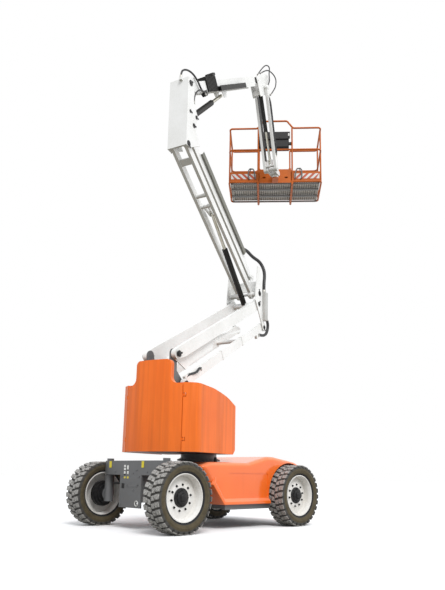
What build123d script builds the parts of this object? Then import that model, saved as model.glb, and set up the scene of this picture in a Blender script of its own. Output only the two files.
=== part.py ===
"""Self-propelled articulating boom lift: wheeled chassis, slewing turntable, two folding risers, boom, jib and platform.

Millimetres. +X runs from the steered axle to the fixed axle, +Y is left, +Z is up, and the origin is on
the ground under the slew axis. The upper works are drawn straight ahead and then turned by SLEW.
"""
from build123d import *
import os
from math import acos, atan2, cos, degrees, hypot, pi, radians, sin, sqrt, tan

# ---- Running gear ----
STEER_X = -1058.0        # steered axle
DRIVE_X = 1077.0         # fixed axle
WHEEL_Y = 820.0          # wheel centre from the middle of the machine
AXLE_Z = 415.0           # wheel centre above the ground
TYRE_R = 415.0
TYRE_WIDTH = 290.0
CARCASS_R = 397.0        # between the lugs
LUGS = 22                # on each shoulder, the two rows half a pitch apart
LUG_SHARE = 0.52         # of each pitch
LUG_LENGTH = 132.0
LUG_TURN = 12.0
RIM_R = 277.0            # rim flange
RIM_WIDTH = 236.0
RIM_WALL = 14.0
DISC_Y = 30.0            # inner face of the wheel disc, outboard of the wheel centre
DISC_WALL = 14.0
HUB_R = 66.0
HUB_REACH = 48.0         # hub cap beyond the disc
DRUM_R = 98.0            # wheel motor
KINGPIN_Y = 582.0
KINGPIN_R = 28.0
POST_R = 60.0            # knuckle post round the kingpin
BEAM_Z = (660.0, 838.0)  # steer beam, underside and top
BEAM_HALF = 88.0

# ---- Chassis ----
FRAME_HALF = 300.0
FRAME_Z = (330.0, 650.0)
FRAME_X = (-700.0, 1240.0)
NECK_HALF = 200.0
END_PLATE = 22.0
END_PLATE_HALF = 220.0
END_PLATE_Z = 262.0
COVER_HALF = 750.0
COVER_WALL = 16.0
COVER_ROUND = 60.0       # long upper edges
RAIL_Z = (246.0, 308.0)
SEAT = 0.3               # gap where one piece rests on another
SLEW_BEARING_R = 255.0
DECK_Z = (950.0, 985.0)

# ---- Turntable and hood ----
SLEW = 15.98             # upper works turned to the left of straight ahead
HOOD_R = 1186.0          # rear of the hood, round the slew axis
HOOD_WALL = 22.0
HOOD_Z = 947.0
SEAM_Y = 420.0           # rear cover meets the side doors
SEAM_GAP = 8.0
TOWER_HALF = 266.0
TOWER_Z = 2091.0
SLOT_HALF = 275.0        # open middle of the hood, where the risers fold down
HOOD_HALF = 582.0
HOOD_FRONT = 50.0
PEDESTAL_Y = (170.0, 186.0)

# ---- Risers, side view (x, z) ----
RUN = 0.1                # radial clearance round a pin
ARM_ROOT = (-990.0, 2185.0)
ARM_TIP = (1350.0, 3455.0)
LINK_DROP = (200.0, -355.0)      # lower link's pins from the arm's
UPPER_FOOT = (1362.0, 3640.0)
UPPER_HEAD = (-772.0, 5290.0)
UPPER_RISE = (125.0, 350.0)      # upper link's pins from the upper arm's
WEB_Y = (192.0, 204.0)
ARM_Y = (192.0, 252.0)
LINK_Y = (210.0, 252.0)
MID_Y = (258.0, 272.0)
RAIL_Y = (88.0, 136.0)
ARM_PIN = 35.0
LINK_PIN = 30.0
UPPER_PIN = 40.0
HEAD_PIN = 20.0
CENTRE_HALF = 44.0               # upper link

# ---- Head, boom and jib ----
HEAD_Y = (144.0, 160.0)
HEAD_REAR = -835.0
HEAD_SKIN = 6.0
BOOM_PIVOT = (-766.0, 6263.0)
BOOM_ANGLE = 35.0
BOOM_LENGTH = 2750.0
BOOM_HALF = 75.0
BOOM_TOP = 30.0
BOOM_SKIRT = -140.0
BOOM_FLOOR = -105.0
BOOM_WALL = 8.0
INNER_HALF = 58.0
INNER_T = (-90.0, 15.0)
TIP_PIVOT = (2930.0, -38.0)      # along and square to the boom
JIB_PIVOT = (1950.0, 7915.0)
JIB_FOOT = (2400.0, 6460.0)
TIP_Y = (62.0, 78.0)
JIB_Y = (86.0, 136.0)
JIB_DEPTH = 108.0
ROTATOR_X = 2595.0
ROTATOR_R = 62.0

# ---- Cylinders: side-view pins and sizes ----
RISER_EYE = (1560.0, 95.0)       # along and square to the upper arm, from its foot
RISER_BARREL = (1050.0, 45.0)    # length and radius
LIFT_BASE = (-587.0, 5806.0)
LIFT_EYE = (1270.0, -210.0)      # along and square to the boom
LIFT_BARREL = (975.0, 45.0)
JIB_BASE = (1900.0, 7800.0)
JIB_EYE = 1387.0                 # along the jib
JIB_BARREL = (720.0, 38.0)
EYE_HALF = 20.0

# ---- Platform, from the middle of its near edge ----
PLATFORM_Z = 6420.0
PLATFORM_YAW = 24.94
PLATFORM_REACH = 190.0           # near edge from the rotator's axis
PLATFORM_W = 1830.0
PLATFORM_D = 890.0
RAIL_TOP = 1150.0
RAIL_MID = 674.0
RAIL_R = 18.0
STILE_R = 16.0           # uprights between the rails
RUNNER_R = 22.0          # tubes under the floor
RUNNER_Z = -60.0
GATE_Y = 330.0           # gate posts
GATE_BAR_Z = 718.0
HOOP_R = 9.0
POST_Y = 340.0

os.makedirs("parts", exist_ok=True)


# ---- Drawing helpers ----
def box(x, y, z):
    """A block between two values on each axis."""
    size = (x[1] - x[0], y[1] - y[0], z[1] - z[0])
    return Pos((x[0] + x[1]) / 2, (y[0] + y[1]) / 2, (z[0] + z[1]) / 2) * Box(*size)


def outline(points, radius):
    """A flat face inside straight runs, their corners rounded where a radius is given."""
    if not radius:
        return make_face(Polyline(*points, close=True)).face()
    return make_face(FilletPolyline(*points, radius=radius, close=True)).face()


def thickened(face, direction, depth):
    """The face made solid along a direction square to it."""
    if face.normal_at().dot(Vector(*direction)) < 0:
        face = -face
    return extrude(face, depth)


def side(points, y, radius=0):
    """A block drawn in side view as (x, z) points, between two values of y."""
    face = outline([(a, y[0], b) for a, b in points], radius)
    return thickened(face, (0, 1, 0), y[1] - y[0])


def plan(points, z, radius=0):
    """A block drawn from above as (x, y) points, between two values of z."""
    face = outline([(a, b, z[0]) for a, b in points], radius)
    return thickened(face, (0, 0, 1), z[1] - z[0])


def front(points, x, radius=0):
    """A block drawn from the front as (y, z) points, between two values of x."""
    face = outline([(x[0], a, b) for a, b in points], radius)
    return thickened(face, (1, 0, 0), x[1] - x[0])


def cross_bar(place, radius, y):
    """A round bar or bore across the machine at an (x, z) place."""
    turned = Pos(place[0], (y[0] + y[1]) / 2, place[1]) * Rot(90, 0, 0)
    return turned * Cylinder(radius, y[1] - y[0])


def upright(x, y, radius, z):
    return Pos(x, y, (z[0] + z[1]) / 2) * Cylinder(radius, z[1] - z[0])


def strap(start, end, radii, y):
    """A flat strap round two bosses, with straight sides that touch both."""
    run = (end[0] - start[0], end[1] - start[1])
    heading = atan2(run[1], run[0])
    lean = acos((radii[0] - radii[1]) / hypot(*run))
    corners = []
    for place, radius, turns in ((start, radii[0], (1, -1)), (end, radii[1], (-1, 1))):
        for turn in turns:
            angle = heading + turn * lean
            corners.append((place[0] + radius * cos(angle), place[1] + radius * sin(angle)))
    body = side(corners, y)
    return body + cross_bar(start, radii[0], y) + cross_bar(end, radii[1], y)


def tube(points, radius, bend, closed=False):
    """A round tube along straight runs joined by bends."""
    path = FilletPolyline(*points, radius=bend, close=closed)
    return sweep((path ^ 0) * Circle(radius), path)


def rod(start, end, radius):
    """A straight round bar between two points."""
    line = Line(start, end)
    return extrude((line ^ 0) * Circle(radius), line.length)


def hose(points, radius):
    """A hose along (x, y, z) points: straight runs joined by arcs that take up most of the shorter run."""
    arcs = []
    for before, corner, after in zip(points, points[1:], points[2:]):
        back = Vector(*before) - Vector(*corner)
        ahead = Vector(*after) - Vector(*corner)
        half_turn = radians(180 - back.get_angle(ahead)) / 2
        arcs.append(0.45 * min(back.length, ahead.length) / tan(half_turn))
    path = FilletPolyline(*points, radius=arcs)
    return sweep((path ^ 0) * Circle(radius), path)


def both(shape):
    """The shape and its mirror image across the middle of the machine."""
    return shape + mirror(shape, about=Plane.XZ)


class Member:
    """Side-view axes of a straight member: s along it from its first pin, t square to it and upwards."""

    def __init__(self, start, end):
        self.start = start
        self.length = hypot(end[0] - start[0], end[1] - start[1])
        self.along = ((end[0] - start[0]) / self.length, (end[1] - start[1]) / self.length)
        turn = 1 if self.along[0] > 0 else -1
        self.up = (-turn * self.along[1], turn * self.along[0])

    def at(self, s, t=0.0):
        x = self.start[0] + s * self.along[0] + t * self.up[0]
        z = self.start[1] + s * self.along[1] + t * self.up[1]
        return (x, z)

    def block(self, points, y, radius=0):
        return side([self.at(s, t) for s, t in points], y, radius)

    def bar(self, s, y, t):
        """A rectangular length of the member between two values of s and of t."""
        return self.block([(s[0], t[0]), (s[1], t[0]), (s[1], t[1]), (s[0], t[1])], y)


def shifted(place, offset):
    return (place[0] + offset[0], place[1] + offset[1])


LINK_ROOT = shifted(ARM_ROOT, LINK_DROP)
LINK_TIP = shifted(ARM_TIP, LINK_DROP)
CENTRE_FOOT = shifted(UPPER_FOOT, UPPER_RISE)
CENTRE_HEAD = shifted(UPPER_HEAD, UPPER_RISE)
ARM = Member(ARM_ROOT, ARM_TIP)
LINK = Member(LINK_ROOT, LINK_TIP)
UPPER = Member(UPPER_FOOT, UPPER_HEAD)
CENTRE = Member(CENTRE_FOOT, CENTRE_HEAD)
BOOM_END = (BOOM_PIVOT[0] + 1000 * cos(radians(BOOM_ANGLE)), BOOM_PIVOT[1] + 1000 * sin(radians(BOOM_ANGLE)))
BOOM = Member(BOOM_PIVOT, BOOM_END)
JIB = Member(JIB_PIVOT, JIB_FOOT)


# ---- Wheels ----
def wheel_ring(section, x, y):
    """A ring turned from (radius, sideways) points about a wheel's axis."""
    face = make_face(Polyline(*[(r, w, 0) for r, w in section], close=True))
    turned = revolve(face, Axis.Y)
    return Pos(x, y, AXLE_Z) * turned


def tyre():
    """Carcass with flat facets between the lugs, and two staggered rows of slanted lugs."""
    half = TYRE_WIDTH / 2

    def ring(radius, width):
        place = Plane(origin=(0, width, 0), x_dir=(1, 0, 0), z_dir=(0, 1, 0))
        return place * RegularPolygon(radius, LUGS)

    bead = RIM_WIDTH / 2 - RIM_WALL - 1
    crown = half - 26
    carcass = loft([ring(CARCASS_R, -crown), ring(CARCASS_R, crown)], ruled=True)
    for out in (-1, 1):
        carcass += loft([ring(CARCASS_R, out * crown), ring(RIM_R + 55, out * half)], ruled=True)
        carcass -= loft([ring(RIM_R + 55, out * half), ring(RIM_R + 6, out * bead)], ruled=True)
    seat = (RIM_R - RIM_WALL + SEAT) / cos(pi / LUGS)
    carcass -= loft([ring(seat, -half - 1), ring(seat, half + 1)], ruled=True)
    lug_half = pi * TYRE_R / LUGS * LUG_SHARE
    corner = lug_half * cos(radians(LUG_TURN)) + LUG_LENGTH / 2 * sin(radians(LUG_TURN))
    reach = sqrt(TYRE_R ** 2 - corner ** 2)
    for out in (-1, 1):
        for n in range(LUGS):
            lug = Rot(0, 0, out * LUG_TURN) * Box(2 * lug_half, LUG_LENGTH, reach - CARCASS_R + 30)
            lug = Pos(0, out * (half - LUG_LENGTH / 2 - 6), (reach + CARCASS_R - 30) / 2) * lug
            carcass += Rot(0, 360 / LUGS * (n + (0.25 if out > 0 else -0.25)), 0) * lug
    return carcass


def rim(x, y):
    out = 1 if y > 0 else -1
    half = RIM_WIDTH / 2
    barrel = [
        (RIM_R, -half), (RIM_R, -half + RIM_WALL), (RIM_R - RIM_WALL, -half + RIM_WALL),
        (RIM_R - RIM_WALL, half - RIM_WALL), (RIM_R, half - RIM_WALL), (RIM_R, half), (RIM_R - 10, half),
        (RIM_R - 2 * RIM_WALL, half - 3 * RIM_WALL), (RIM_R - 2 * RIM_WALL, -half + 3 * RIM_WALL), (RIM_R - 10, -half),
    ]
    face = DISC_Y
    back = face + DISC_WALL
    dish = [
        (0, out * face), (DRUM_R + 40, out * face), (RIM_R - 2 * RIM_WALL + 1, out * (face - 34)),
        (RIM_R - 2 * RIM_WALL + 1, out * (back - 34)), (DRUM_R + 46, out * back), (HUB_R, out * back),
        (HUB_R, out * (back + HUB_REACH - 10)), (HUB_R - 10, out * (back + HUB_REACH)), (0, out * (back + HUB_REACH)),
    ]
    return wheel_ring(barrel, x, y) + wheel_ring(dish, x, y)


def drum(x, out, start_y):
    """A wheel motor, from its carrier to the wheel disc."""
    end_y = WHEEL_Y + DISC_Y - 0.5
    body = cross_bar((x, AXLE_Z), DRUM_R - 12, (start_y, end_y))
    body += cross_bar((x, AXLE_Z), DRUM_R, (start_y + 60, end_y - 40))
    return body if out > 0 else mirror(body, about=Plane.XZ)


def steer_knuckle(out):
    post = upright(STEER_X, KINGPIN_Y, POST_R, (AXLE_Z - DRUM_R, BEAM_Z[0] - 6))
    washer = upright(STEER_X, KINGPIN_Y, POST_R - 14, (BEAM_Z[0] - 6, BEAM_Z[0] - 0.3))
    pin = upright(STEER_X, KINGPIN_Y, KINGPIN_R, (BEAM_Z[0] - 40, BEAM_Z[1] + 0.3))
    cap = upright(STEER_X, KINGPIN_Y, KINGPIN_R + 17, (BEAM_Z[1] + 0.3, BEAM_Z[1] + 30))
    arm = plan([(STEER_X, KINGPIN_Y - 40), (STEER_X + 190, KINGPIN_Y - 75), (STEER_X + 190, KINGPIN_Y - 25),
                (STEER_X, KINGPIN_Y + 40)], (AXLE_Z + 120, AXLE_Z + 150))
    body = post + washer + pin + cap + arm
    body = body if out > 0 else mirror(body, about=Plane.XZ)
    return body + drum(STEER_X, out, KINGPIN_Y + 20)


def steer_axle():
    low, high = BEAM_Z
    beam = plan([(STEER_X - BEAM_HALF, -KINGPIN_Y + 70), (STEER_X + BEAM_HALF, -KINGPIN_Y + 70),
                 (STEER_X + BEAM_HALF, KINGPIN_Y - 70), (STEER_X - BEAM_HALF, KINGPIN_Y - 70)], (low, high))
    for end in (1, -1):
        beam += upright(STEER_X, end * KINGPIN_Y, 62, (low, high))
        beam += plan([(STEER_X - BEAM_HALF, end * (KINGPIN_Y - 71)), (STEER_X - 60, end * KINGPIN_Y),
                      (STEER_X + 60, end * KINGPIN_Y), (STEER_X + BEAM_HALF, end * (KINGPIN_Y - 71))], (low, high))
    for end in (1, -1):
        beam -= upright(STEER_X, end * KINGPIN_Y, KINGPIN_R + RUN, (low - 1, high + 1))
    return beam


def drive_axle():
    stub = box((DRIVE_X - 80, DRIVE_X + 80), (FRAME_HALF, 640), (AXLE_Z - 80, AXLE_Z + 80))
    left = stub + drum(DRIVE_X, 1, 640)
    return left + mirror(left, about=Plane.XZ)


# ---- Chassis ----
def chassis_frame():
    low, high = FRAME_Z
    end_x = STEER_X - BEAM_HALF + 18
    frame = box(FRAME_X, (-FRAME_HALF, FRAME_HALF), FRAME_Z)
    frame += box((end_x, FRAME_X[0]), (-NECK_HALF, NECK_HALF), (low, BEAM_Z[0]))
    plate = box((end_x - END_PLATE, end_x), (-END_PLATE_HALF, END_PLATE_HALF), (END_PLATE_Z, BEAM_Z[0]))
    slot = box((end_x - END_PLATE - 1, end_x - END_PLATE + 9), (-150, 60), (523, 551))
    eye = Pos(end_x - END_PLATE / 2, -145, 318) * Rot(0, 90, 0) * Cylinder(22, END_PLATE + 4)
    frame += plate - slot - eye
    for x in (-150, 540):
        frame += box((x, x + 90), (-COVER_HALF + 60, COVER_HALF - 60), (RAIL_Z[0] + 4, low))
    rail = box((-216, 655), (COVER_HALF - 60, COVER_HALF), RAIL_Z)
    return frame + both(rail)


COVER_TOP = (
    (-640, 790), (-470, 838), (250, 846), (620, 936), (760, 936), (1235, 872), (1420, 800), (1478, 560), (1478, 350),
)
COVER_BOTTOM = ((1450, 240), (-195, 240))
COVER_LOW = RAIL_Z[1] + SEAT


def chassis_cover():
    """Moulded cover over the frame: a shell open underneath, humped over the fixed wheels."""
    points = list(COVER_TOP) + list(COVER_BOTTOM)
    radii = [30, 200, 300, 260, 400, 300, 90, 60, 20, 20, 20]

    def volume(inset):
        face = outline([(a, 0, b) for a, b in points], radii)
        if inset:
            face = offset(face, -inset, kind=Kind.INTERSECTION).face()
        body = thickened(Pos(0, -COVER_HALF + inset, 0) * face, (0, 1, 0), 2 * (COVER_HALF - inset))
        edge_y = COVER_HALF - inset
        long_edges = [e for e in body.edges()
                      if abs(abs(e.center().Y) - edge_y) < 1 and e.center().Z > 700 - inset]
        return fillet(long_edges, COVER_ROUND - inset)

    shell = volume(0) - volume(COVER_WALL)
    shell -= box((-800, 1500), (-COVER_HALF - 1, COVER_HALF + 1), (200, COVER_LOW))
    shell -= upright(0, 0, SLEW_BEARING_R + 12, (700, 1000))
    shell -= box((-700, -200), (-FRAME_HALF - 8, FRAME_HALF + 8), (300, FRAME_Z[1] + SEAT))
    arch = cross_bar((DRIVE_X, AXLE_Z), TYRE_R + 28, (640, COVER_HALF + 1))
    panel = side([(-173, 393), (-173, 704), (614, 704), (614, 393)], (COVER_HALF - 6, COVER_HALF + 1), 30)
    shell -= both(arch + panel)
    return shell


def slew_pedestal():
    return upright(0, 0, SLEW_BEARING_R, (FRAME_Z[1], 905)) + upright(0, 0, SLEW_BEARING_R + 60, (FRAME_Z[1], 680))


# ---- Turntable ----
def turntable_base():
    deck = plan([(-1050, -400), (-940, -530), (10, -530), (10, 530), (-940, 530), (-1050, 400)], DECK_Z)
    deck += upright(0, 0, SLEW_BEARING_R - 6, (905.3, DECK_Z[0] + 1))
    deck += box((-1000, -700), (-PEDESTAL_Y[1], PEDESTAL_Y[1]), (DECK_Z[1], 1085))
    root, link = ARM_ROOT, LINK_ROOT
    cheek = side([(root[0] - 74, root[1]), (root[0] - 74, DECK_Z[1]), (-560, DECK_Z[1]), (link[0] + 75, link[1] - 40),
                  (link[0] + 60, link[1] + 20), (-905, 1985), (root[0] + 75, root[1])], PEDESTAL_Y)
    cheek += cross_bar(root, 75, PEDESTAL_Y)
    cheek += cross_bar(root, ARM_PIN, (PEDESTAL_Y[1] - 1, MID_Y[0]))
    cheek += cross_bar(link, LINK_PIN, (PEDESTAL_Y[1] - 1, MID_Y[0]))
    return deck + both(cheek)


def hinge_axis(out):
    """The door's upright hinge, inside the skin just ahead of the seam."""
    y = SEAM_Y + 20
    return (-sqrt((HOOD_R - HOOD_WALL / 2) ** 2 - y ** 2), out * y)


HINGE_Z = (1080.0, 1620.0)


def hood_rear():
    skin = upright(0, 0, HOOD_R, (HOOD_Z, TOWER_Z))
    edge = SEAM_Y - SEAM_GAP / 2

    def elevation(inset):
        top, shoulder = TOWER_Z - inset, 1775 - inset
        half, wide = TOWER_HALF - inset, edge - inset
        points = [(-wide, HOOD_Z - 2 * inset), (wide, HOOD_Z - 2 * inset), (wide, shoulder), (half, shoulder + 20),
                  (half, top), (-half, top), (-half, shoulder + 20), (-wide, shoulder)]
        radii = [1, 1, 8, 90 + inset, 60 - inset, 60 - inset, 90 + inset, 8]
        return front(points, (-HOOD_R - 10, -1088), radii)

    cover = skin & elevation(0)
    hollow = upright(0, 0, HOOD_R - HOOD_WALL, (HOOD_Z - 50, TOWER_Z))
    inside = elevation(HOOD_WALL) & hollow
    cover -= inside
    for out in (1, -1):
        x, y = hinge_axis(out)
        for z in HINGE_Z:
            tongue = upright(x, y, 10, (z, z + 36))
            arm = box((x - 8, x + 8), sorted((y, out * (edge - 14))), (z, z + 36))
            cover += tongue + arm
            cover -= upright(x, y, 5 + RUN, (z - 1, z + 37))
    return cover


def hood_door(out):
    """Side cover: outer skin, top and front, open towards the slot, the back and the floor."""
    seam = SEAM_Y + SEAM_GAP / 2
    seam_x = -sqrt(HOOD_R ** 2 - seam ** 2)

    def volume(inset, inner_y, rear_x, low, front_x):
        curve = [(seam_x + inset * 0.9, seam), (-990 + inset / 2, HOOD_HALF - inset), (-450, HOOD_HALF + 22 - inset),
                 (front_x, HOOD_HALF - inset), (front_x, inner_y), (rear_x, inner_y), (rear_x, seam)]
        radii = [1, 170 - inset, 900, 100 - inset, 1, 1, 1]
        if inset:
            curve[0] = (seam_x + inset * 0.9, seam - 1)
        body = plan(curve, (low, 1900), radii)
        top = [(-1300, low), (-1300, 1790 - inset), (-1006, 1797 - inset), (-640, 1768 - inset),
               (-260, 1690 - inset), (front_x + 2, 1572 - inset), (front_x + 2, low)]
        return body & side(top, (200, 700), [1, 1, 900, 900, 900, 60 - inset, 1])

    outer = volume(0, SLOT_HALF, -1080, HOOD_Z, HOOD_FRONT)
    inner = volume(HOOD_WALL, SLOT_HALF - 30, -1200, HOOD_Z - 30, HOOD_FRONT - HOOD_WALL)
    door = outer - inner
    corner = side([(HOOD_FRONT + 5, 1075), (HOOD_FRONT + 5, HOOD_Z - 5), (-90, HOOD_Z - 5)], (SLOT_HALF - 5, 700))
    door -= corner
    x, y = hinge_axis(1)
    for z in HINGE_Z:
        door -= upright(x, y, 17, (z - 6, z + 42))
        door -= box((x - 46, x + 17), (SEAM_Y - 20, y + 10), (z - 6, z + 42))
        door += upright(x, y, 5, (z - 7, z + 43))
    return door if out > 0 else mirror(door, about=Plane.XZ)


def counterweight():
    """Cast weight at the rear, its back turned to the hood's own radius."""
    top = 1650
    ring = upright(0, 0, HOOD_R - HOOD_WALL - 0.3, (DECK_Z[1] + 0.3, top))
    wide = SEAM_Y - SEAM_GAP / 2 - HOOD_WALL - 0.3
    blocks = ring & both(box((-1130, -760), (200, wide), (DECK_Z[1] + 0.3, top)))
    return blocks


# ---- Lower riser ----
def lower_arm():
    end = ARM.length
    rail = ARM.bar((170, end), ARM_Y, (-90, 75)) + cross_bar(ARM_TIP, 88, ARM_Y)
    root = ARM.block([(0, -70), (180, -90), (180, 75), (0, 70)], ARM_Y) + cross_bar(ARM_ROOT, 70, ARM_Y)
    web = ARM.block([(0, 0), (-22, -64), (150, -256), (180, -272), (330, -238), (963, -238), (1080, -80), (1080, 0)],
                    WEB_Y)
    web += cross_bar(ARM.at(178, -240), 32, WEB_Y)
    web += ARM.block([(1060, -85), (1130, -85), (1915, -225), (1905, -255), (1075, -128)], WEB_Y)
    arm = rail + root + web
    arm -= cross_bar(ARM_ROOT, ARM_PIN + RUN, (100, 300))
    arm += cross_bar(ARM_TIP, ARM_PIN, (ARM_Y[1] - 1, MID_Y[1] + 5))
    arm = both(arm)
    arm += cross_bar(ARM_TIP, 45, (-ARM_Y[0] - 1, ARM_Y[0] + 1))
    arm += cross_bar(ARM.at(400, -180), 38, (-WEB_Y[1], WEB_Y[1]))
    return arm


def lower_link():
    end = LINK.length
    bar = LINK.bar((30, end - 30), LINK_Y, (-43, 85))
    bar += cross_bar(LINK_ROOT, 60, LINK_Y) + cross_bar(LINK_TIP, 60, LINK_Y)
    bar -= cross_bar(LINK_ROOT, LINK_PIN + RUN, (200, 260))
    bar -= cross_bar(LINK_TIP, LINK_PIN + RUN, (200, 260))
    for s in (1130, 1830):
        bar += LINK.bar((s - 30, s + 30), (LINK_Y[0], LINK_Y[1] + 5), (-49, 91))
    link = both(bar) + LINK.bar((2350, 2420), (-LINK_Y[1], -LINK_Y[0]), (-104, -42))
    return link + cross_bar(LINK.at(1850, 20), 30, (-LINK_Y[0] - 1, LINK_Y[0] + 1))


def mid_bracket():
    """Levelled bracket between the risers: two plates, a cross wall and the upper riser's pins."""
    b, d = ARM_TIP, LINK_TIP
    plate = side([(b[0] - 137, b[1] + 35), (b[0] - 128, b[1] + 160), (b[0] - 70, b[1] + 637), (b[0] + 50, b[1] + 637),
                  (b[0] + 112, b[1] + 330), (b[0] + 135, b[1] - 241), (d[0] + 40, d[1] + 50), (d[0], d[1] - 62),
                  (d[0] - 50, d[1] - 30), (b[0] - 60, b[1] - 70)], MID_Y)
    plate += cross_bar(d, 62, MID_Y) + cross_bar(b, 92, MID_Y)
    plate -= cross_bar(b, ARM_PIN + RUN, (250, 300))
    plate += cross_bar(d, LINK_PIN, (LINK_Y[0], MID_Y[0] + 1))
    bracket = both(plate)
    bracket += both(cross_bar(UPPER_FOOT, UPPER_PIN, (62, MID_Y[1] + 4)))
    bracket += cross_bar(UPPER_FOOT, UPPER_PIN / 2, (-63, 63))
    bracket += box((1447, 1471), (-MID_Y[0] - 1, MID_Y[0] + 1), (3720, 3890))
    lug = side([(1447, 3740), (1471, 3740), (CENTRE_FOOT[0] + 48, CENTRE_FOOT[1]), (CENTRE_FOOT[0] - 40, CENTRE_FOOT[1] + 10)],
               (54, 70))
    lug += cross_bar(CENTRE_FOOT, 50, (54, 70))
    bracket += both(lug)
    return bracket + cross_bar(CENTRE_FOOT, LINK_PIN, (-75, 75))


def mid_hose_channel():
    return box((1486.3, 1590), (-318, -222), (3214, 3700))


# ---- Upper riser ----
def upper_arm():
    end = UPPER.length
    rail = UPPER.bar((0, end), RAIL_Y, (-30, 75))
    rail += cross_bar(UPPER_FOOT, 72, RAIL_Y) + cross_bar(UPPER_HEAD, 44, RAIL_Y)
    rail -= UPPER.block([(end - 60, 44), (end + 80, 44), (end + 80, 120), (end - 60, 120)], (80, 150))
    rail -= cross_bar(UPPER_FOOT, UPPER_PIN + RUN, (80, 140))
    rail -= cross_bar(UPPER_HEAD, HEAD_PIN + RUN, (80, 140))
    arm = both(rail)
    inner = (-RAIL_Y[0] - 1, RAIL_Y[0] + 1)
    arm += cross_bar(UPPER.at(1880, 20), 30, inner)
    arm += UPPER.bar((2400, 2500), inner, (-20, 10))
    arm += cross_bar(UPPER.at(1700, 15), 26, inner)
    clevis = UPPER.block([(1670, -10), (1730, -10), (1730, 40), (1610, 140), (1500, 140), (1500, 60)], (27, 39))
    return arm + both(clevis)


def upper_link():
    end = CENTRE.length
    bar = CENTRE.bar((60, end - 50), (-CENTRE_HALF, CENTRE_HALF), (-55, 55))
    foot = CENTRE.block([(0, -42), (420, -55), (420, 85), (40, 48)], (-CENTRE_HALF, CENTRE_HALF))
    bar += foot + cross_bar(CENTRE_FOOT, 46, (-CENTRE_HALF, CENTRE_HALF))
    bar += cross_bar(CENTRE_HEAD, 44, (-CENTRE_HALF, CENTRE_HALF))
    bar += CENTRE.bar((end - 60, end), (-CENTRE_HALF, CENTRE_HALF), (-44, 44))
    bar -= cross_bar(CENTRE_FOOT, LINK_PIN + RUN, (-80, 80))
    return bar - cross_bar(CENTRE_HEAD, HEAD_PIN + RUN, (-80, 80))


def hose_tray():
    low = 55 + SEAT
    outer = CENTRE.bar((430, CENTRE.length - 450), (-76, 76), (low, 136))
    tray = outer - CENTRE.bar((400, CENTRE.length - 400), (-72, 72), (low + 5, 140))
    return tray + CENTRE.bar((620, 660), (-73, 73), (low + 4, 134))


# ---- Head ----
def head_bracket():
    g, p, q, h = UPPER_HEAD, BOOM_PIVOT, LIFT_BASE, CENTRE_HEAD
    plate = side([(HEAD_REAR, 5246), (HEAD_REAR, 6330), (p[0] + 54, 6338), (p[0] + 70, 6263), (-622, 6077),
                  (-600, 5900), (q[0] + 34, q[1] + 34), (q[0] + 34, q[1] - 34), (-592, 5700), (-585, 5590),
                  (-452, 5405), (-600, 5330), (-735, 5240)], HEAD_Y)
    plate += cross_bar(q, 46, HEAD_Y)
    head = both(plate)
    inner = (-HEAD_Y[0] - 1, HEAD_Y[0] + 1)
    head += box((HEAD_REAR, HEAD_REAR + HEAD_SKIN), inner, (5246, 6330))
    head += box((HEAD_REAR, p[0] - 52), inner, (6318, 6330))
    head += box((HEAD_REAR - 40, HEAD_REAR + 1), (-62, -18), (6292, 6330))
    for place, radius in ((g, HEAD_PIN), (h, HEAD_PIN), (p, HEAD_PIN), (q, HEAD_PIN), ((-754, 5815), 16)):
        head += cross_bar(place, radius, (-HEAD_Y[1] - 5, HEAD_Y[1] + 5))
    return head


# ---- Boom ----
def boom_base():
    y = (-BOOM_HALF, BOOM_HALF)
    beam = BOOM.bar((300, BOOM_LENGTH), y, (BOOM_SKIRT, BOOM_TOP))
    inner = (-BOOM_HALF + BOOM_WALL, BOOM_HALF - BOOM_WALL)
    beam -= BOOM.bar((420, BOOM_LENGTH + 1), inner, (BOOM_FLOOR + BOOM_WALL, BOOM_TOP - BOOM_WALL))
    beam -= BOOM.bar((420, BOOM_LENGTH + 1), inner, (BOOM_SKIRT - 1, BOOM_FLOOR))
    root = BOOM.block([(0, -44), (60, -70), (330, BOOM_SKIRT), (420, BOOM_SKIRT), (420, BOOM_TOP), (360, 90),
                       (220, 90), (0, 44)], y)
    root += cross_bar(BOOM_PIVOT, 44, (-138, 138))
    root += BOOM.bar((360, 420), y, (0, 60))
    beam += root
    beam -= cross_bar(BOOM_PIVOT, HEAD_PIN + RUN, (-150, 150))
    beam -= BOOM.bar((BOOM_LENGTH - 40, BOOM_LENGTH + 1), (-100, 100), (BOOM_SKIRT - 1, BOOM_FLOOR))
    pad = (BOOM_LENGTH - 130, BOOM_LENGTH - 10)
    low, high = INNER_T
    side_y = (INNER_HALF + SEAT, BOOM_HALF - BOOM_WALL + 1)
    beam += both(BOOM.bar(pad, side_y, (low + 20, high - 15)))
    beam += BOOM.bar(pad, (-40, 40), (high + SEAT, BOOM_TOP - 1))
    beam += BOOM.bar(pad, (-40, 40), (BOOM_FLOOR + 1, low - SEAT))
    clevis = BOOM.block([(1180, BOOM_SKIRT), (1380, BOOM_SKIRT), (1310, -252), (1230, -252)],
                        (BOOM_HALF - BOOM_WALL, BOOM_HALF))
    beam += both(clevis)
    return beam


def boom_collar():
    """Ribbed black saddle over the boom's top and sides, with an ear at its front top edge."""
    s = (660, 1040)
    saddle = BOOM.bar(s, (-92, 92), (BOOM_SKIRT, 85)) - BOOM.bar((600, 1100), (-75.3, 75.3), (-200, 30.3))
    for n in range(8):
        start = 676 + 46 * n
        saddle += BOOM.bar((start, start + 22), (-98, 98), (BOOM_SKIRT, 91)) - BOOM.bar(
            (600, 1100), (-91, 91), (-200, 84))
    ear = BOOM.block([(1000, 60), (1106, 110), (1106, 140), (1030, 145), (1000, 110)], (-70, 70))
    return saddle + ear


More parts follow.
